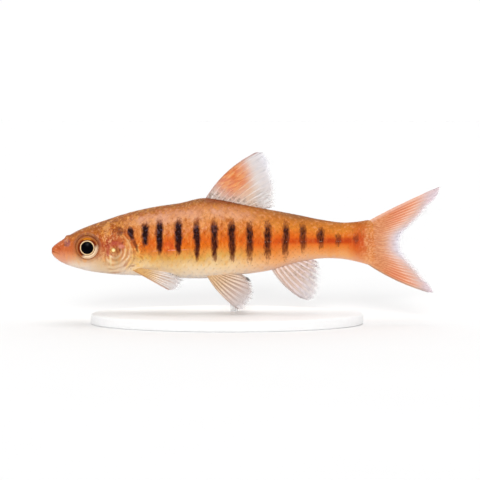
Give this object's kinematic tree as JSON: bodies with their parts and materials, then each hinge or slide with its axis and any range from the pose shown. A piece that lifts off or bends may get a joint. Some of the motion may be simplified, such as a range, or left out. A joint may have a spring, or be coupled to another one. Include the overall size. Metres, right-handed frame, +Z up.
{
  "type": "banded barb fish model",
  "caption": "Still life-size model of a small orange river barb with dark upright bars, held level over a flat oval base by a slim rod.",
  "frame": {"origin": "centre of the whole model's box, on the underside of the base", "axes": "+Z up, -X the way the fish faces, -Y the fish's left side"},
  "size_m": [0.0602, 0.024, 0.0265],
  "materials": {
    "skin": "satin scaled skin, orange with dark bars",
    "gill_cover": "satin, slightly pearly",
    "eye": "wet and clear",
    "fin": "thin translucent membrane with rays",
    "stand_white": "matt white",
    "stand_clear": "clear, polished"
  },
  "bodies": {
    "root": {"head": "skin", "lower_jaw": "skin", "trunk": "skin", "tail_stem": "skin", "gill_cover_left": "gill_cover", "gill_cover_right": "gill_cover", "eye_left": "eye", "eye_right": "eye", "dorsal_fin": "fin", "anal_fin": "fin", "tail_fin_upper": "fin", "tail_fin_lower": "fin", "pelvic_fin_left": "fin", "pelvic_fin_right": "fin", "pectoral_fin_left": "fin", "pectoral_fin_right": "fin", "stand_base": "stand_white", "stand_rod": "stand_clear"}
  },
  "joints": []
}
